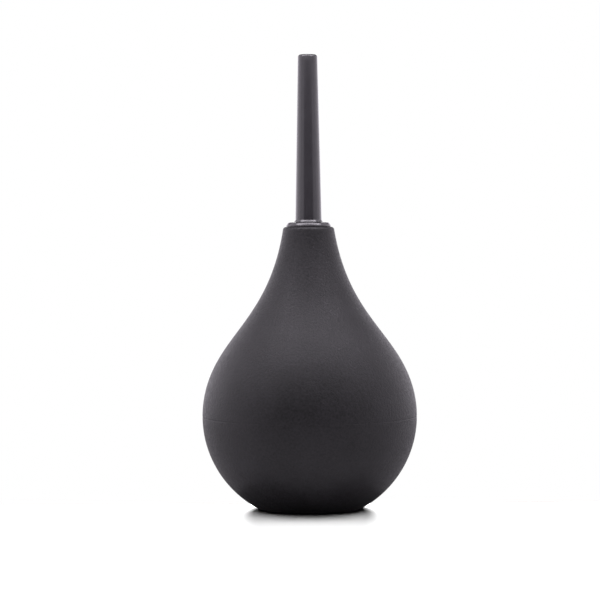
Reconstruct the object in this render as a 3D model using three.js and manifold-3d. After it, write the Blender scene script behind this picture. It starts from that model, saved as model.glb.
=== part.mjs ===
// Squeeze-bulb air blower: a one-piece soft bulb, a hard threaded socket held in its neck, a
// sealing washer and a screw-in tapered nozzle.
// Millimetres, +Z up. The origin is the middle of the flat base, and Z is the axis of every piece.

import * as THREE from 'three';
import { mergeVertices } from 'three/addons/utils/BufferGeometryUtils.js';
import Module from 'manifold-3d';

const wasm = await Module();
wasm.setup();

// ---------------------------------------------------------------- driving dimensions

const GAP = 0.3; // clearance where one piece sits in another
const ROUND = 48; // facets round the bulb
const FINE_ROUND = 36; // facets round the small turned pieces

const BELLY_RADIUS = 40;
const BELLY_FLATTENING = 0.983; // height against width of the belly's lower half
const BASE_RADIUS = 19.3;
const BASE_EDGE = 0.8; // how far in the base's rounded edge starts
const BASE_EDGE_SHARE = 0.02; // of the belly's lower curve that the rounded edge takes
const WALL = 3; // of the belly and the shoulder
const FLOOR_THICKNESS = 4;
const SHOULDER_START = THREE.MathUtils.degToRad(17); // where the round belly turns into the flare
const FLARE_HANDLES = [20.5, 32.5]; // stiffness of the flare at its belly end and its neck end
const NECK_RADIUS = 9.6; // just under the lip
const NECK_TAPER = THREE.MathUtils.degToRad(9.4);
const LIP_ROUNDING = 1;
const LIP_TOP = 105;
const BORE_BOTTOM = 87; // where the neck's bore starts to widen
const CHAMBER_TOP = 72; // where it has become the thin-walled chamber
const THROAT_HANDLES = [7, 6]; // stiffness of the throat at its bore end and its chamber end

const COLLAR_RADIUS = 8.3;
const COLLAR_BOTTOM = LIP_TOP + GAP;
const COLLAR_TOP = 106.7;
const COLLAR_ROUNDING = 1;
const BARREL_RADIUS = 6.2;
const BARREL_BOTTOM = 88;
const BARB_RADIUS = 7;
const BARB_LENGTH = 3;
const BARB_TOPS = [102.5, 98.5, 94.5];

const SEAT_DEPTH = 0.8; // counterbore in the collar that holds the washer
const SEAL_RADIUS = 4.55;
const SEAL_BORE = 3.6;
const SEAL_THICKNESS = 0.8;
const SEAL_GAP = 0.1; // above and below the washer

const THREAD_PITCH = 2.5;
const THREAD_TURNS = 4;
const THREAD_BOTTOM = 93.6; // middle of the ridge where it starts
const THREAD_CORE = 3.3;
const THREAD_CREST = 4.2;
const THREAD_FOOT_WIDTH = 1.5; // of the ridge where it leaves the core
const THREAD_CREST_WIDTH = 0.6;
const THREAD_CLEARANCE = 0.2;
const THREAD_RUNOUT = 0.25; // turns over which the ridge rises at each end
const THREAD_END_SHARE = 0.05; // of its height that the ridge keeps at its very end
const THREAD_STEPS = 18; // facets in one turn
const SOCKET_BORE = 3.55;

const RIM_RADIUS = 5.05;
const RIM_HEIGHT = 1;
const TUBE_FOOT_RADIUS = 4.63;
const TIP_RADIUS = 3.46;
const TIP_ROUNDING = 0.7;
const TIP_TOP = 169;
const SHANK_BOTTOM = 91.5;
const AIRWAY_FOOT_RADIUS = 1.8;
const AIRWAY_TIP_RADIUS = 1.2;
const EDGE = 0.3; // small chamfers

// Worked out from those
const SEAT_FLOOR = COLLAR_TOP - SEAT_DEPTH;
const SEAL_BOTTOM = SEAT_FLOOR + SEAL_GAP;
const SEAL_TOP = SEAL_BOTTOM + SEAL_THICKNESS;
const RIM_BOTTOM = SEAL_TOP + SEAL_GAP;
const RIM_TOP = RIM_BOTTOM + RIM_HEIGHT;
const BELLY_HEIGHT = BELLY_FLATTENING * Math.sqrt(BELLY_RADIUS ** 2 - BASE_RADIUS ** 2);

// ---------------------------------------------------------------- shape helpers

const point = (radius, height) => new THREE.Vector2(radius, height);

// A solid of revolution about Z. The outline runs up the outer wall and down the inner one.
function turned(outline, facets) {
  return new THREE.LatheGeometry(outline, facets).rotateX(Math.PI / 2);
}

// The same, for an outline that doesn't touch the axis and so has to close on itself.
function turnedRing(outline, facets) {
  return turned([...outline, outline[0]], facets);
}

// Points on a quarter circle that rounds an upper outer edge, from the wall to the top face.
function roundedEdge(radius, top, rounding, steps) {
  const arc = new THREE.EllipseCurve(
    radius - rounding, top - rounding, rounding, rounding, 0, Math.PI / 2,
  );
  return arc.getPoints(steps);
}

function toSolid(geometry) {
  geometry.deleteAttribute('normal');
  geometry.deleteAttribute('uv');
  const merged = mergeVertices(geometry);
  return new wasm.Manifold(new wasm.Mesh({
    numProp: 3,
    vertProperties: merged.getAttribute('position').array,
    triVerts: new Uint32Array(merged.getIndex().array),
  }));
}

function toGeometry(solid) {
  const mesh = solid.getMesh();
  const geometry = new THREE.BufferGeometry();
  geometry.setAttribute('position', new THREE.BufferAttribute(mesh.vertProperties, 3));
  geometry.setIndex(new THREE.BufferAttribute(mesh.triVerts, 1));
  geometry.computeVertexNormals();
  return geometry;
}

// A right-hand helical ridge, four-sided in section. Its foot is buried at footRadius, and its
// crest sinks to the foot at both ends over the run-out.
function helicalRidge({ footRadius, crestRadius, footWidth, crestWidth, bottom, turns }) {
  const steps = turns * THREAD_STEPS;
  const corners = 4;
  const vertices = [];
  for (let step = 0; step <= steps; step += 1) {
    const turn = step / THREAD_STEPS;
    const angle = turn * 2 * Math.PI;
    const height = bottom + turn * THREAD_PITCH;
    const nearestEnd = Math.min(turn, turns - turn);
    const rise = THREE.MathUtils.clamp(nearestEnd / THREAD_RUNOUT, THREAD_END_SHARE, 1);
    const crest = footRadius + (crestRadius - footRadius) * rise;
    const section = [
      [footRadius, -footWidth / 2],
      [crest, -crestWidth / 2],
      [crest, crestWidth / 2],
      [footRadius, footWidth / 2],
    ];
    for (const [radius, offset] of section) {
      vertices.push(radius * Math.cos(angle), radius * Math.sin(angle), height + offset);
    }
  }
  const faces = [0, 1, 2, 0, 2, 3];
  for (let step = 0; step < steps; step += 1) {
    for (let corner = 0; corner < corners; corner += 1) {
      const here = step * corners + corner;
      const next = step * corners + (corner + 1) % corners;
      faces.push(here, here + corners, next, next, here + corners, next + corners);
    }
  }
  const last = steps * corners;
  faces.push(last, last + 2, last + 1, last, last + 3, last + 2);
  const geometry = new THREE.BufferGeometry();
  geometry.setAttribute('position', new THREE.Float32BufferAttribute(vertices, 3));
  geometry.setIndex(faces);
  return geometry;
}

// ---------------------------------------------------------------- the bulb

// The outside from the base's edge to just under the lip: a flattened lower half, a round upper
// belly and one long flare into the neck.
function bulbOuterCurves() {
  const baseAngle = -Math.acos(BASE_RADIUS / BELLY_RADIUS);
  const lower = new THREE.EllipseCurve(
    0, BELLY_HEIGHT, BELLY_RADIUS, BELLY_RADIUS * BELLY_FLATTENING, baseAngle, 0,
  );
  const upper = new THREE.EllipseCurve(
    0, BELLY_HEIGHT, BELLY_RADIUS, BELLY_RADIUS, 0, SHOULDER_START,
  );
  const flareStart = upper.getPoint(1);
  const flareEnd = point(NECK_RADIUS, LIP_TOP - LIP_ROUNDING);
  const [startHandle, endHandle] = FLARE_HANDLES;
  const flare = new THREE.CubicBezierCurve(
    flareStart,
    point(
      flareStart.x - startHandle * Math.sin(SHOULDER_START),
      flareStart.y + startHandle * Math.cos(SHOULDER_START),
    ),
    point(
      flareEnd.x + endHandle * Math.sin(NECK_TAPER),
      flareEnd.y - endHandle * Math.cos(NECK_TAPER),
    ),
    flareEnd,
  );
  return { lower, upper, flare };
}

// Points along a curve, each moved towards the inside of the bulb by a thickness.
function insetPoints(curve, thickness, steps) {
  const points = [];
  for (let step = 0; step <= steps; step += 1) {
    const t = step / steps;
    const tangent = curve.getTangent(t);
    const inset = point(-tangent.y, tangent.x).multiplyScalar(thickness);
    points.push(curve.getPoint(t).add(inset));
  }
  return points;
}

// One barb after another, top to bottom: a flat upper face, then a taper back to the barrel.
function barbPoints(clearance) {
  const barrel = BARREL_RADIUS + clearance;
  const barb = BARB_RADIUS + clearance;
  return BARB_TOPS.flatMap((top) => [
    point(barrel, top + clearance),
    point(barb, top + clearance),
    point(barb, top - clearance - EDGE),
    point(barrel, top - clearance - BARB_LENGTH),
  ]);
}

function makeBulb() {
  const { lower, upper, flare } = bulbOuterCurves();
  const bore = BARREL_RADIUS + GAP;
  const baseEdge = new THREE.QuadraticBezierCurve(
    point(BASE_RADIUS - BASE_EDGE, 0),
    point(BASE_RADIUS, 0),
    lower.getPoint(BASE_EDGE_SHARE),
  );
  const chamber = [
    ...insetPoints(lower, WALL, 8),
    ...insetPoints(upper, WALL, 3).slice(1),
    ...insetPoints(flare, WALL, 10).slice(1),
  ].filter(({ y }) => y < CHAMBER_TOP).reverse();
  const [chamberTop, nextBelow] = chamber;
  const wallUpwards = chamberTop.clone().sub(nextBelow).normalize();
  const [boreHandle, chamberHandle] = THROAT_HANDLES;
  const throat = new THREE.CubicBezierCurve(
    point(bore, BORE_BOTTOM),
    point(bore, BORE_BOTTOM - boreHandle),
    chamberTop.clone().addScaledVector(wallUpwards, chamberHandle),
    chamberTop,
  );
  const outline = [
    point(0, 0),
    ...baseEdge.getPoints(2),
    ...lower.getPoints(9).slice(1),
    ...upper.getPoints(3).slice(1),
    ...flare.getPoints(14).slice(1),
    ...roundedEdge(NECK_RADIUS, LIP_TOP, LIP_ROUNDING, 3).slice(1),
    point(bore, LIP_TOP),
    ...barbPoints(GAP),
    ...throat.getPoints(6),
    ...chamber.slice(1).map(({ x, y }) => point(x, Math.max(y, FLOOR_THICKNESS))),
    point(0, FLOOR_THICKNESS),
  ];
  return turned(outline, ROUND);
}

// ---------------------------------------------------------------- the neck socket

function makeNeckSocket() {
  const seatRadius = SEAL_RADIUS + GAP;
  const body = turnedRing([
    point(SOCKET_BORE + EDGE, BARREL_BOTTOM),
    point(BARREL_RADIUS - EDGE, BARREL_BOTTOM),
    point(BARREL_RADIUS, BARREL_BOTTOM + EDGE),
    ...barbPoints(0).reverse(),
    point(BARREL_RADIUS, COLLAR_BOTTOM),
    point(COLLAR_RADIUS - EDGE / 2, COLLAR_BOTTOM),
    point(COLLAR_RADIUS, COLLAR_BOTTOM + EDGE / 2),
    ...roundedEdge(COLLAR_RADIUS, COLLAR_TOP, COLLAR_ROUNDING, 3),
    point(seatRadius, COLLAR_TOP),
    point(seatRadius, SEAT_FLOOR),
    point(SOCKET_BORE, SEAT_FLOOR),
    point(SOCKET_BORE, BARREL_BOTTOM + EDGE),
  ], FINE_ROUND);
  // The groove starts one turn below the ridge, and runs out through the top of the seat.
  const groove = helicalRidge({
    footRadius: SOCKET_BORE - GAP,
    crestRadius: THREAD_CREST + THREAD_CLEARANCE,
    footWidth: THREAD_FOOT_WIDTH + 2 * THREAD_CLEARANCE,
    crestWidth: THREAD_CREST_WIDTH + 2 * THREAD_CLEARANCE,
    bottom: THREAD_BOTTOM - THREAD_PITCH,
    turns: THREAD_TURNS + 3,
  });
  return toGeometry(toSolid(body).subtract(toSolid(groove)));
}

// ---------------------------------------------------------------- the sealing washer

function makeNozzleSeal() {
  return turnedRing([
    point(SEAL_BORE, SEAL_BOTTOM),
    point(SEAL_RADIUS - EDGE / 2, SEAL_BOTTOM),
    point(SEAL_RADIUS, SEAL_BOTTOM + EDGE / 2),
    point(SEAL_RADIUS, SEAL_TOP - EDGE / 2),
    point(SEAL_RADIUS - EDGE / 2, SEAL_TOP),
    point(SEAL_BORE, SEAL_TOP),
  ], FINE_ROUND);
}

// ---------------------------------------------------------------- the nozzle

function makeNozzle() {
  const body = turnedRing([
    point(AIRWAY_FOOT_RADIUS, SHANK_BOTTOM),
    point(THREAD_CORE - EDGE, SHANK_BOTTOM),
    point(THREAD_CORE, SHANK_BOTTOM + EDGE),
    point(THREAD_CORE, RIM_BOTTOM),
    point(RIM_RADIUS - EDGE, RIM_BOTTOM),
    point(RIM_RADIUS, RIM_BOTTOM + RIM_HEIGHT / 2),
    point(TUBE_FOOT_RADIUS + EDGE / 2, RIM_TOP - EDGE / 2),
    point(TUBE_FOOT_RADIUS, RIM_TOP),
    ...roundedEdge(TIP_RADIUS, TIP_TOP, TIP_ROUNDING, 3),
    point(AIRWAY_TIP_RADIUS + EDGE, TIP_TOP),
    point(AIRWAY_TIP_RADIUS, TIP_TOP - EDGE),
  ], FINE_ROUND);
  const ridge = helicalRidge({
    footRadius: THREAD_CORE - GAP,
    crestRadius: THREAD_CREST,
    footWidth: THREAD_FOOT_WIDTH,
    crestWidth: THREAD_CREST_WIDTH,
    bottom: THREAD_BOTTOM,
    turns: THREAD_TURNS,
  });
  return toGeometry(toSolid(body).add(toSolid(ridge)));
}

// ---------------------------------------------------------------- assembly

const softRubber = new THREE.MeshStandardMaterial({ color: 0x38363a, roughness: 0.6, metalness: 0 });
const satinPlastic = new THREE.MeshStandardMaterial({ color: 0x2e2c30, roughness: 0.35, metalness: 0 });
const collarPlastic = new THREE.MeshStandardMaterial({ color: 0x2a282c, roughness: 0.25, metalness: 0 });
const blackRubber = new THREE.MeshStandardMaterial({ color: 0x1c1b1d, roughness: 0.7, metalness: 0 });

function piece(name, geometry, material) {
  const mesh = new THREE.Mesh(geometry, material);
  mesh.name = name;
  return mesh;
}

const group = new THREE.Group();
group.add(
  piece('bulb', makeBulb(), softRubber),
  piece('neck_socket', makeNeckSocket(), collarPlastic),
  piece('nozzle_seal', makeNozzleSeal(), blackRubber),
  piece('nozzle', makeNozzle(), satinPlastic),
);

export default group;
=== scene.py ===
"""Looks for the squeeze-bulb air blower: a soft matte bulb, a glossy collar in its neck, a black
washer and a glossy tapered nozzle, on a white floor in a white studio.

Every piece is turned about Z, so each one starts as an outline of (radius, height) points.
Lengths are metres. MM turns the millimetres used for small features into metres.
"""

import math

import bmesh
import bpy
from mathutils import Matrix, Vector


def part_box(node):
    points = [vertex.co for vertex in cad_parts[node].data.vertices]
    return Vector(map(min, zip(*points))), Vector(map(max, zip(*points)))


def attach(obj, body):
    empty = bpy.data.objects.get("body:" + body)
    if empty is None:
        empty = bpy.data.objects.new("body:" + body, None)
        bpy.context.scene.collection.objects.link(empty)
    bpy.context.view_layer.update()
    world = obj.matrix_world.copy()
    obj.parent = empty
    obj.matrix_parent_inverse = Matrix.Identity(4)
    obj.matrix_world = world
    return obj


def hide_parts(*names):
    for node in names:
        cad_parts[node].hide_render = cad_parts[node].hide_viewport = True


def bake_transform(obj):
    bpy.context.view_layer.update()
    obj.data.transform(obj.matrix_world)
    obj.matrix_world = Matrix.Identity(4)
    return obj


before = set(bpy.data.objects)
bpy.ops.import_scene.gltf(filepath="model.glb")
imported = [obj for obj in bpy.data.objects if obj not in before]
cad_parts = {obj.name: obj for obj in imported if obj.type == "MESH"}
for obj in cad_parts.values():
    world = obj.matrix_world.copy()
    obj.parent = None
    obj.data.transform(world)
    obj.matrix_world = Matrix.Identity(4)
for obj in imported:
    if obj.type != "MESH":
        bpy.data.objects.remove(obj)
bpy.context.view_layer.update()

MM = 0.001

# ------------------------------------------------------------- sizes that the frame gives

BELLY_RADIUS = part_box("bulb")[1].x
LIP_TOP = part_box("bulb")[1].z
COLLAR_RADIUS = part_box("neck_socket")[1].x
COLLAR_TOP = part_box("neck_socket")[1].z
BARREL_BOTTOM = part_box("neck_socket")[0].z
SEAL_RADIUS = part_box("nozzle_seal")[1].x
SEAL_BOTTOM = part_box("nozzle_seal")[0].z
SEAL_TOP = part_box("nozzle_seal")[1].z
RIM_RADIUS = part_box("nozzle")[1].x
SHANK_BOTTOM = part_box("nozzle")[0].z
TIP_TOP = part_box("nozzle")[1].z

# ------------------------------------------------------------- sizes of the finer shapes

BELLY_FLATTENING = 0.983
BASE_RADIUS = 19.3 * MM
BASE_EDGE_ROUNDING = 2.5 * MM
WALL = 3 * MM
FLOOR_THICKNESS = 4 * MM
SHOULDER_START = math.radians(17)
FLARE_HANDLES = (20.5 * MM, 32.5 * MM)
NECK_RADIUS = 9.6 * MM
NECK_TAPER = math.radians(9.4)
LIP_ROUNDING = 1.25 * MM
BORE_RADIUS = 6.5 * MM
BORE_BOTTOM = 87 * MM
CHAMBER_TOP = 72 * MM
THROAT_HANDLES = (7 * MM, 6 * MM)
BELLY_HEIGHT = BELLY_FLATTENING * math.sqrt(BELLY_RADIUS**2 - BASE_RADIUS**2)

PARTING_DEPTH = 0.08 * MM
PARTING_HALF_WIDTH = 0.35 * MM

COLLAR_UNDERSIDE = LIP_TOP + 0.03 * MM
COLLAR_CHAMFER = (0.72 * MM, 1.1 * MM)
BARREL_RADIUS = 6.2 * MM
BARB_RADIUS = 7 * MM
BARB_TOPS = (102.5 * MM, 98.5 * MM, 94.5 * MM)
BARB_LENGTH = 3 * MM
BARB_CLEARANCE = 0.3 * MM
SEAT_DEPTH = 0.8 * MM
SEAT_RADIUS = 4.85 * MM
SOCKET_BORE = 3.55 * MM

THREAD_PITCH = 2.5 * MM
THREAD_TURNS = 4
THREAD_BOTTOM = 93.6 * MM
THREAD_CORE = 3.3 * MM
THREAD_CREST = 4.2 * MM
THREAD_FOOT_WIDTH = 1.5 * MM
THREAD_CREST_WIDTH = 0.6 * MM
THREAD_CLEARANCE = 0.2 * MM
THREAD_STEPS = 72

RIM_HEIGHT = 0.75 * MM
RIM_OVERHANG = 0.3 * MM
RIM_GAP = 0.04 * MM
TUBE_FOOT_RADIUS = 4.88 * MM
TIP_RADIUS = 3.61 * MM
TIP_ROUNDING = 1 * MM
AIRWAY_FOOT_RADIUS = 1.8 * MM
AIRWAY_TIP_RADIUS = 1.2 * MM
SEAL_BORE = 3.6 * MM
SEAL_BULGE = 0.2 * MM

BULB_SEGMENTS = 192
SMALL_SEGMENTS = 128


# ------------------------------------------------------------- outlines


def arc(centre, radii, start, end, steps):
    """Points on an ellipse's arc, from one angle to another."""
    angles = (start + (end - start) * i / steps for i in range(steps + 1))
    return [
        Vector((centre[0] + radii[0] * math.cos(a), centre[1] + radii[1] * math.sin(a)))
        for a in angles
    ]


def bezier(a, b, c, d, steps):
    """Points on a cubic Bezier curve."""
    points = []
    for i in range(steps + 1):
        t = i / steps
        s = 1 - t
        points.append(a * s**3 + b * (3 * s * s * t) + c * (3 * s * t * t) + d * t**3)
    return points


def rounded(corners, steps=6):
    """An outline of (radius, height, rounding) corners, with each rounded corner as an arc."""
    points = []
    count = len(corners)
    for i, (r, z, rounding) in enumerate(corners):
        here = Vector((r, z))
        if rounding == 0:
            points.append(here)
            continue
        back = (Vector(corners[i - 1][:2]) - here).normalized()
        ahead = (Vector(corners[(i + 1) % count][:2]) - here).normalized()
        half = back.angle(ahead) / 2
        reach = rounding / math.tan(half)
        centre = here + (back + ahead).normalized() * (rounding / math.sin(half))
        first = here + back * reach - centre
        sweep = first.angle_signed(here + ahead * reach - centre)
        for k in range(steps + 1):
            turn = -sweep * k / steps
            cos, sin = math.cos(turn), math.sin(turn)
            spoke = Vector((first.x * cos - first.y * sin, first.x * sin + first.y * cos))
            points.append(centre + spoke)
    return points


def filled_in(outline, step):
    """The same outline, with points added so that no straight stretch is longer than step."""
    points = []
    for here, ahead in zip(outline, outline[1:] + outline[:1]):
        parts = max(1, math.ceil((ahead - here).length / step))
        points += [here.lerp(ahead, k / parts) for k in range(parts)]
    return points


def inset(points, thickness):
    """Points of an open outline moved towards its left by a thickness."""
    moved = []
    for i, here in enumerate(points):
        tangent = points[min(i + 1, len(points) - 1)] - points[max(i - 1, 0)]
        tangent.normalize()
        moved.append(here + Vector((-tangent.y, tangent.x)) * thickness)
    return moved


# ------------------------------------------------------------- meshes


def new_object(name, mesh):
    piece = bpy.data.objects.new(name, mesh)
    bpy.context.scene.collection.objects.link(piece)
    return piece


def finished_mesh(bm, name):
    bmesh.ops.remove_doubles(bm, verts=bm.verts, dist=1e-7)
    bmesh.ops.recalc_face_normals(bm, faces=bm.faces)
    mesh = bpy.data.meshes.new(name)
    bm.to_mesh(mesh)
    bm.free()
    return mesh


def turned(name, outline, segments):
    """A mesh turned about Z from a closed outline. Points on the axis become one vertex."""
    bm = bmesh.new()
    rings = []
    for point in outline:
        if point.x < 1e-9:
            rings.append([bm.verts.new((0, 0, point.y))] * segments)
            continue
        ring = []
        for i in range(segments):
            angle = 2 * math.pi * i / segments
            ring.append(
                bm.verts.new((point.x * math.cos(angle), point.x * math.sin(angle), point.y))
            )
        rings.append(ring)
    for low, high in zip(rings, rings[1:] + rings[:1]):
        if low[0] is low[1] and high[0] is high[1]:
            continue
        for i in range(segments):
            j = (i + 1) % segments
            corners = []
            for vertex in (low[i], low[j], high[j], high[i]):
                if vertex not in corners:
                    corners.append(vertex)
            bm.faces.new(corners)
    return finished_mesh(bm, name)


def helical_ridge(name, foot_radius, crest_radius, foot_width, crest_width, bottom, turns):
    """A right-hand helical ridge whose crest sinks to its foot over the last quarter turns."""
    bm = bmesh.new()
    steps = turns * THREAD_STEPS
    sections = []
    for step in range(steps + 1):
        turn = step / THREAD_STEPS
        angle = turn * 2 * math.pi
        height = bottom + turn * THREAD_PITCH
        rise = min(1, max(0.05, 4 * min(turn, turns - turn)))
        crest = foot_radius + (crest_radius - foot_radius) * rise
        shape = (
            (foot_radius, -foot_width / 2),
            (crest - 0.1 * MM * rise, -crest_width / 2 - 0.04 * MM),
            (crest, -crest_width / 2 + 0.1 * MM),
            (crest, crest_width / 2 - 0.1 * MM),
            (crest - 0.1 * MM * rise, crest_width / 2 + 0.04 * MM),
            (foot_radius, foot_width / 2),
        )
        sections.append(
            [
                bm.verts.new((r * math.cos(angle), r * math.sin(angle), height + offset))
                for r, offset in shape
            ]
        )
    for here, ahead in zip(sections, sections[1:]):
        for i in range(len(here)):
            j = (i + 1) % len(here)
            bm.faces.new((here[i], here[j], ahead[j], ahead[i]))
    bm.faces.new(sections[0])
    bm.faces.new(sections[-1])
    return finished_mesh(bm, name)


def combined(name, body_mesh, tool_mesh, operation):
    """The body joined with the tool, or cut by it, as a new mesh."""
    body = new_object(name + "_body", body_mesh)
    tool = new_object(name + "_tool", tool_mesh)
    modifier = body.modifiers.new("cut", "BOOLEAN")
    modifier.operation = operation
    modifier.solver = "EXACT"
    modifier.object = tool
    shape = body.evaluated_get(bpy.context.evaluated_depsgraph_get())
    mesh = bpy.data.meshes.new_from_object(shape)
    mesh.name = name
    for helper in (body, tool):
        bpy.data.objects.remove(helper)
    return mesh


def smoothed(mesh, sharp_angle=30):
    mesh.shade_smooth()
    mesh.set_sharp_from_angle(angle=math.radians(sharp_angle))
    return mesh


# ------------------------------------------------------------- the bulb


def bulb_outside():
    """The outside from the flat base to just under the lip, before the mould's parting line."""
    base_angle = -math.acos(BASE_RADIUS / BELLY_RADIUS)
    centre = (0, BELLY_HEIGHT)
    lower = arc(centre, (BELLY_RADIUS, BELLY_RADIUS * BELLY_FLATTENING), base_angle, 0, 60)
    upper = arc(centre, (BELLY_RADIUS, BELLY_RADIUS), 0, SHOULDER_START, 22)
    flare_start = upper[-1]
    flare_end = Vector((NECK_RADIUS, LIP_TOP - LIP_ROUNDING))
    leave = Vector((-math.sin(SHOULDER_START), math.cos(SHOULDER_START)))
    arrive = Vector((-math.sin(NECK_TAPER), math.cos(NECK_TAPER)))
    flare = bezier(
        flare_start,
        flare_start + leave * FLARE_HANDLES[0],
        flare_end - arrive * FLARE_HANDLES[1],
        flare_end,
        72,
    )
    return lower + upper[1:] + flare[1:]


def base_edge(outside):
    """The base's small rounded edge, from the flat underside up to the belly's curve."""
    corner = outside[0]
    wall = (outside[1] - corner).normalized()
    reach = BASE_EDGE_ROUNDING * 0.35
    low = corner - Vector((reach, 0))
    high = corner + wall * reach
    return bezier(low, corner - Vector((reach / 3, 0)), corner + wall * (reach / 3), high, 6)


def with_parting_line(points):
    """The outside with a shallow groove round the belly, where the mould's halves met."""
    offsets = [PARTING_HALF_WIDTH * k / 3 for k in range(-4, 5)]
    groove = []
    for offset in offsets:
        depth = PARTING_DEPTH * max(0, 1 - abs(offset) / PARTING_HALF_WIDTH)
        radius = math.sqrt(BELLY_RADIUS**2 - offset**2) - depth
        groove.append(Vector((radius, BELLY_HEIGHT + offset)))
    below = [p for p in points if p.y < groove[0].y - 0.1 * MM]
    above = [p for p in points if p.y > groove[-1].y + 0.1 * MM]
    return below + groove + above


def barb_corners(clearance):
    """(radius, height, rounding) corners of the barbs, from top to bottom."""
    barrel = BARREL_RADIUS + clearance
    barb = BARB_RADIUS + clearance
    edge = 0.12 * MM
    corners = []
    for top in BARB_TOPS:
        corners += [
            (barrel, top + clearance, edge),
            (barb, top + clearance, edge),
            (barb, top - clearance - 0.3 * MM, edge),
            (barrel, top - clearance - BARB_LENGTH, edge),
        ]
    return corners


def make_bulb():
    outside = bulb_outside()
    chamber = [p for p in inset(outside, WALL) if p.y < CHAMBER_TOP]
    chamber = [Vector((p.x, max(p.y, FLOOR_THICKNESS))) for p in reversed(chamber)]
    upwards = (chamber[0] - chamber[1]).normalized()
    throat = bezier(
        Vector((BORE_RADIUS, BORE_BOTTOM)),
        Vector((BORE_RADIUS, BORE_BOTTOM - THROAT_HANDLES[0])),
        chamber[0] + upwards * THROAT_HANDLES[1],
        chamber[0],
        20,
    )
    edge = base_edge(outside)
    lip_centre = (NECK_RADIUS - LIP_ROUNDING, LIP_TOP - LIP_ROUNDING)
    lip = arc(lip_centre, (LIP_ROUNDING, LIP_ROUNDING), NECK_TAPER, math.pi / 2, 10)
    bore = rounded(
        [(NECK_RADIUS - LIP_ROUNDING, LIP_TOP, 0), (BORE_RADIUS, LIP_TOP, 0.3 * MM)]
        + barb_corners(BARB_CLEARANCE)
        + [(BORE_RADIUS, BORE_BOTTOM, 0)],
        steps=3,
    )
    wall = [p for p in with_parting_line(outside) if p.y > edge[-1].y + 0.05 * MM]
    outline = (
        [Vector((0, 0))]
        + edge
        + wall[:-1]
        + lip[:-1]
        + bore[:-1]
        + throat
        + chamber[1:]
        + [Vector((0, FLOOR_THICKNESS))]
    )
    return smoothed(turned("bulb_body", filled_in(outline, 1.2 * MM), BULB_SEGMENTS), 50)


# ------------------------------------------------------------- the small pieces


def make_collar():
    seat_floor = COLLAR_TOP - SEAT_DEPTH
    corners = (
        [
            (SOCKET_BORE, BARREL_BOTTOM, 0.3 * MM),
            (BARREL_RADIUS, BARREL_BOTTOM, 0.4 * MM),
        ]
        + [corner for corner in reversed(barb_corners(0))]
        + [
            (BARREL_RADIUS, COLLAR_UNDERSIDE, 0.1 * MM),
            (COLLAR_RADIUS, COLLAR_UNDERSIDE, 0.2 * MM),
            (COLLAR_RADIUS, COLLAR_TOP - COLLAR_CHAMFER[1], 0.8 * MM),
            (COLLAR_RADIUS - COLLAR_CHAMFER[0], COLLAR_TOP, 0.8 * MM),
            (SEAT_RADIUS, COLLAR_TOP, 0.15 * MM),
            (SEAT_RADIUS, seat_floor, 0.1 * MM),
            (SOCKET_BORE, seat_floor, 0.15 * MM),
        ]
    )
    body = turned("collar_body", filled_in(rounded(corners), 0.8 * MM), SMALL_SEGMENTS)
    groove = helical_ridge(
        "collar_groove",
        SOCKET_BORE - THREAD_CLEARANCE,
        THREAD_CREST + THREAD_CLEARANCE,
        THREAD_FOOT_WIDTH + 2 * THREAD_CLEARANCE,
        THREAD_CREST_WIDTH + 2 * THREAD_CLEARANCE,
        THREAD_BOTTOM - THREAD_PITCH,
        THREAD_TURNS + 3,
    )
    return smoothed(combined("collar", body, groove, "DIFFERENCE"))


def make_seal():
    bulge = SEAL_RADIUS + SEAL_BULGE
    top = SEAL_TOP + 0.02 * MM
    corners = [
        (SEAL_BORE, SEAL_BOTTOM, 0.2 * MM),
        (SEAL_RADIUS, SEAL_BOTTOM, 0.25 * MM),
        (bulge, (SEAL_BOTTOM + SEAL_TOP) / 2, 0.1 * MM),
        (bulge, top, 0.05 * MM),
        (SEAL_BORE, top, 0.2 * MM),
    ]
    return smoothed(turned("seal", filled_in(rounded(corners), 0.3 * MM), SMALL_SEGMENTS), 60)


def make_nozzle():
    rim_bottom = SEAL_TOP + RIM_GAP
    rim_edge = rim_bottom + 0.1 * MM
    rim_radius = RIM_RADIUS + RIM_OVERHANG
    corners = [
        (AIRWAY_FOOT_RADIUS, SHANK_BOTTOM, 0.25 * MM),
        (THREAD_CORE, SHANK_BOTTOM, 0.4 * MM),
        (THREAD_CORE, rim_bottom, 0.15 * MM),
        (rim_radius - 0.05 * MM, rim_bottom, 0.03 * MM),
        (rim_radius, rim_edge, 0.03 * MM),
        (TUBE_FOOT_RADIUS, rim_bottom + RIM_HEIGHT, 0.15 * MM),
        (TIP_RADIUS, TIP_TOP, TIP_ROUNDING),
        (AIRWAY_TIP_RADIUS, TIP_TOP, 0.25 * MM),
    ]
    body = turned("nozzle_body", filled_in(rounded(corners), 1.5 * MM), SMALL_SEGMENTS)
    ridge = helical_ridge(
        "nozzle_ridge",
        THREAD_CORE - 0.3 * MM,
        THREAD_CREST,
        THREAD_FOOT_WIDTH,
        THREAD_CREST_WIDTH,
        THREAD_BOTTOM,
        THREAD_TURNS,
    )
    return smoothed(combined("nozzle", body, ridge, "UNION"))


# ------------------------------------------------------------- materials


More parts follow.
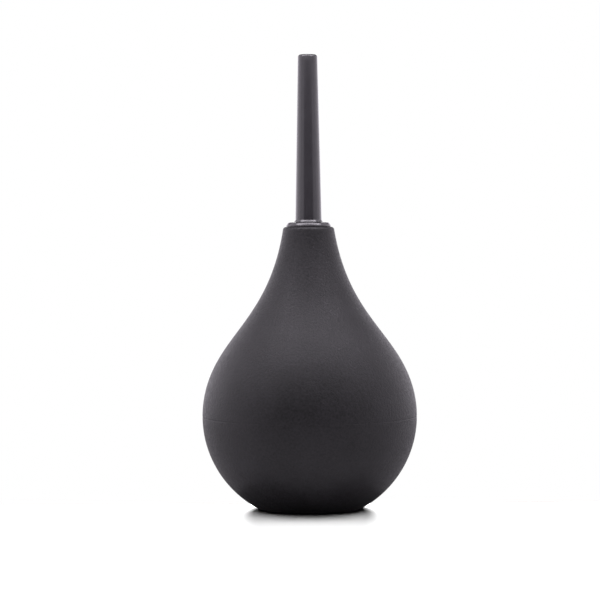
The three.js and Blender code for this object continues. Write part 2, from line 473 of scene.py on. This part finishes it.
class Nodes:
    """Short ways to add and join nodes in one material."""

    def __init__(self, name):
        self.material = bpy.data.materials.new(name)
        self.material.use_nodes = True
        self.tree = self.material.node_tree
        self.shader = self.tree.nodes["Principled BSDF"]
        self.place = self.tree.nodes.new("ShaderNodeTexCoord").outputs["Object"]

    def link(self, source, target):
        self.tree.links.new(source, target)

    def noise(self, size, detail=2, roughness=0.5):
        """A noise whose features are about size across, in metres."""
        node = self.tree.nodes.new("ShaderNodeTexNoise")
        node.inputs["Scale"].default_value = 1 / size
        node.inputs["Detail"].default_value = detail
        node.inputs["Roughness"].default_value = roughness
        self.link(self.place, node.inputs["Vector"])
        return node.outputs["Fac"]

    def ranged(self, source, low, high, to_low, to_high):
        """source, with low to high turned into to_low to to_high and held there beyond."""
        node = self.tree.nodes.new("ShaderNodeMapRange")
        for socket, value in zip(
            ("From Min", "From Max", "To Min", "To Max"), (low, high, to_low, to_high)
        ):
            node.inputs[socket].default_value = value
        self.link(source, node.inputs["Value"])
        return node.outputs["Result"]

    def math(self, operation, first, second):
        node = self.tree.nodes.new("ShaderNodeMath")
        node.operation = operation
        for socket, value in zip(node.inputs, (first, second)):
            if isinstance(value, (int, float)):
                socket.default_value = value
            else:
                self.link(value, socket)
        return node.outputs["Value"]

    def colours(self, source, stops):
        """A colour ramp of (place, colour) stops."""
        node = self.tree.nodes.new("ShaderNodeValToRGB")
        elements = node.color_ramp.elements
        while len(elements) < len(stops):
            elements.new(0.5)
        for element, (where, colour) in zip(elements, stops):
            element.position = where
            element.color = (*colour, 1)
        self.link(source, node.inputs["Fac"])
        return node.outputs["Color"]

    def bumped(self, source, depth):
        """Relief of that depth in metres."""
        node = self.tree.nodes.new("ShaderNodeBump")
        node.inputs["Strength"].default_value = 1
        node.inputs["Distance"].default_value = depth
        self.link(source, node.inputs["Height"])
        return node.outputs["Normal"]


def set_shader(nodes, **values):
    for name, value in values.items():
        nodes.shader.inputs[name.replace("_", " ")].default_value = value


def bulb_rubber():
    """Matte black rubber with a broad mottle and a fine moulded grain."""
    n = Nodes("bulb_rubber")
    set_shader(n, Metallic=0, IOR=1.5, Specular_IOR_Level=0.35)
    mottle = n.noise(18 * MM, detail=3)
    grain = n.noise(0.8 * MM, detail=4, roughness=0.65)
    shade = n.math("ADD", n.math("MULTIPLY", mottle, 0.35), n.math("MULTIPLY", grain, 0.65))
    n.link(
        n.colours(shade, [(0.36, (0.0070, 0.0066, 0.0073)), (0.64, (0.0238, 0.0225, 0.0247))]),
        n.shader.inputs["Base Color"],
    )
    n.link(n.ranged(grain, 0.3, 0.7, 0.36, 0.62), n.shader.inputs["Roughness"])
    n.link(n.bumped(grain, 0.15 * MM), n.shader.inputs["Normal"])
    return n.material


def plastic(name, roughness, colour, shine=0.5):
    """Smooth black plastic or hard rubber with a faint mottle and a very fine grain."""
    n = Nodes(name)
    set_shader(n, Metallic=0, IOR=1.5, Specular_IOR_Level=shine)
    mottle = n.noise(6 * MM, detail=3)
    darker = tuple(c * 0.92 for c in colour)
    lighter = tuple(c * 1.08 for c in colour)
    n.link(n.colours(mottle, [(0.3, darker), (0.7, lighter)]), n.shader.inputs["Base Color"])
    grain = n.noise(0.25 * MM, detail=2)
    n.link(
        n.ranged(grain, 0.3, 0.7, roughness * 0.85, roughness * 1.15),
        n.shader.inputs["Roughness"],
    )
    n.link(n.bumped(grain, 0.004 * MM), n.shader.inputs["Normal"])
    return n.material


# ------------------------------------------------------------- pieces on their bodies


def add_piece(name, mesh, material, node):
    mesh.materials.clear()
    mesh.materials.append(material)
    piece = new_object(name, mesh)
    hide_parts(node)
    return piece


bulb = add_piece("bulb_skin", make_bulb(), bulb_rubber(), "bulb")
collar = add_piece(
    "socket_and_collar",
    make_collar(),
    plastic("collar_plastic", 0.18, (0.045, 0.043, 0.047), 0.6),
    "neck_socket",
)
seal = add_piece(
    "washer",
    make_seal(),
    plastic("seal_rubber", 0.6, (0.008, 0.008, 0.008)),
    "nozzle_seal",
)
nozzle = add_piece(
    "nozzle_tube",
    make_nozzle(),
    plastic("nozzle_plastic", 0.18, (0.045, 0.043, 0.047), 0.7),
    "nozzle",
)
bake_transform(bulb)
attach(collar, "neck")
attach(seal, "seal")
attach(nozzle, "nozzle")


# ------------------------------------------------------------- studio

# The studio is a white tent, in metres, with softboxes for its walls.
TENT_SIDE = 0.42
TENT_FRONT = -0.45
TENT_BACK = 0.45
TENT_HEIGHT = 0.8
SIDE_SPLIT = 0.3
# The lower part of each side is brighter towards the back: (near, far, share of its brightness).
SIDE_STRIPS = ((TENT_FRONT, -0.08, 0.6), (-0.08, 0.13, 0.92), (0.13, TENT_BACK, 1.25))
FRONT_FLAP_BOTTOM = 0.22
OVERHEAD = ((-0.24, -0.12, 0.36), (0.24, 0, 0.36))
FLOOR_SIZE = 0.6
FLOOR_BACK = 0.012
LIGHT_TINT = (1, 0.947, 1.036)


def plain_material(name, colour):
    n = Nodes(name)
    set_shader(n, Roughness=1, Specular_IOR_Level=0)
    n.shader.inputs["Base Color"].default_value = (*colour, 1)
    return n.material


def floor_card(name, height, size, material):
    bm = bmesh.new()
    bmesh.ops.create_grid(bm, x_segments=1, y_segments=1, size=size / 2)
    mesh = bpy.data.meshes.new(name)
    bm.to_mesh(mesh)
    bm.free()
    mesh.materials.append(material)
    card = new_object(name, mesh)
    card.location.z = height
    return card


def collection_of(name, objects):
    """A collection that isn't in the scene and only says what a light falls on."""
    collection = bpy.data.collections.new(name)
    for each in objects:
        collection.objects.link(each)
    return collection


def panel(name, low, high, facing, brightness):
    """A softbox between two corners; white paper in full light has a brightness of about 1."""
    low, high, facing = Vector(low), Vector(high), Vector(facing)
    turn = facing.to_track_quat("-Z", "Y")
    width = abs((high - low).dot(turn @ Vector((1, 0, 0))))
    height = abs((high - low).dot(turn @ Vector((0, 1, 0))))
    data = bpy.data.lights.new(name, "AREA")
    data.shape = "RECTANGLE"
    data.size = width
    data.size_y = height
    data.energy = math.pi * width * height * brightness
    data.color = LIGHT_TINT
    light = bpy.data.objects.new(name, data)
    bpy.context.scene.collection.objects.link(light)
    light.location = (low + high) / 2
    light.rotation_mode = "QUATERNION"
    light.rotation_quaternion = turn
    light.visible_camera = False
    return light


def sun(name, azimuth, elevation, softness, strength, falls_on):
    """A distant soft light; azimuth 0 is at the camera and 90 on its right."""
    a, e = math.radians(azimuth), math.radians(elevation)
    towards = Vector((math.sin(a) * math.cos(e), -math.cos(a) * math.cos(e), math.sin(e)))
    data = bpy.data.lights.new(name, "SUN")
    data.energy = strength
    data.angle = math.radians(softness)
    light = bpy.data.objects.new(name, data)
    bpy.context.scene.collection.objects.link(light)
    light.rotation_mode = "QUATERNION"
    light.rotation_quaternion = (-towards).to_track_quat("-Z", "Y")
    light.light_linking.receiver_collection = falls_on
    return light


def add_backdrop():
    """The world only gives the camera its white background."""
    world = bpy.data.worlds.new("white_backdrop")
    world.use_nodes = True
    background = world.node_tree.nodes["Background"]
    background.inputs["Color"].default_value = (1, 1, 1, 1)
    world.cycles_visibility.diffuse = False
    world.cycles_visibility.glossy = False
    bpy.context.scene.world = world


def add_camera():
    """The camera stands about 0.9 m in front, level with the collar, and looks slightly down."""
    data = bpy.data.cameras.new("camera")
    data.sensor_width = 36
    data.lens = 143.8
    camera = bpy.data.objects.new("camera", data)
    bpy.context.scene.collection.objects.link(camera)
    camera.location = (-3.17 * MM, -893 * MM, 108 * MM)
    camera.rotation_euler = (math.radians(90 - 1.94), math.radians(0.35), 0)
    bpy.context.scene.camera = camera


# The camera sees only the top card. It is dark, so that the strong suns alone light it, and their
# soft shadows are all that shows on a floor that is white elsewhere. It ends under the bulb's back
# half, because a floor brighter than white behind the bulb would eat into its outline.
floor = floor_card("floor", 0, FLOOR_SIZE, plain_material("floor_card", (0.02, 0.02, 0.02)))
floor.location.y = FLOOR_BACK - FLOOR_SIZE / 2
floor.visible_diffuse = False
floor.visible_glossy = False
floor.visible_shadow = False
# The bulb sees these two instead: white paper, and a dark card under it that is painted shadow,
# standing in for the floor where the bulb's own shadow falls.
bounce = floor_card("bounce", -0.6 * MM, 3, plain_material("bounce_paper", (0.62, 0.62, 0.62)))
shade = floor_card("shade", -0.4 * MM, 0.065, plain_material("painted_shadow_paper", (0.2, 0.2, 0.2)))
for card in (bounce, shade):
    card.visible_camera = False
    card.visible_shadow = False

on_floor = collection_of("lit_by_suns", [floor])
for side, tilt, low, high in (("left", 1, 1.2, 1.3), ("right", -1, 1.1, 1.1)):
    x = -tilt * TENT_SIDE
    for near, far, share in SIDE_STRIPS:
        name = f"{side}_low_{far}"
        panel(name, (x, near, 0), (x, far, SIDE_SPLIT), (tilt, 0, 0), low * share)
    high_front, high_back = (x, TENT_FRONT, SIDE_SPLIT), (x, TENT_BACK, TENT_HEIGHT)
    panel(side + "_high", high_front, high_back, (tilt, 0, 0), high)
back_low, back_high = (-TENT_SIDE, TENT_BACK, 0), (TENT_SIDE, TENT_BACK, SIDE_SPLIT)
panel("back_low", back_low, back_high, (0, -1, 0), 1.6)
panel("overhead", *OVERHEAD, (0, 0, -1), 5.9)
front_low = (-TENT_SIDE, TENT_FRONT, FRONT_FLAP_BOTTOM)
front_high = (TENT_SIDE, TENT_FRONT, TENT_HEIGHT)
panel("front_flap", front_low, front_high, (0, 1, 0), 0.9)
sun("back_sun", 180, 20, 32, 2900, on_floor)
sun("top_sun", 0, 90, 90, 100, on_floor)
sun("left_sun", -105, 55, 40, 45, on_floor)
sun("right_sun", 105, 55, 40, 45, on_floor)
add_backdrop()
add_camera()
bpy.context.scene.view_settings.view_transform = "Standard"
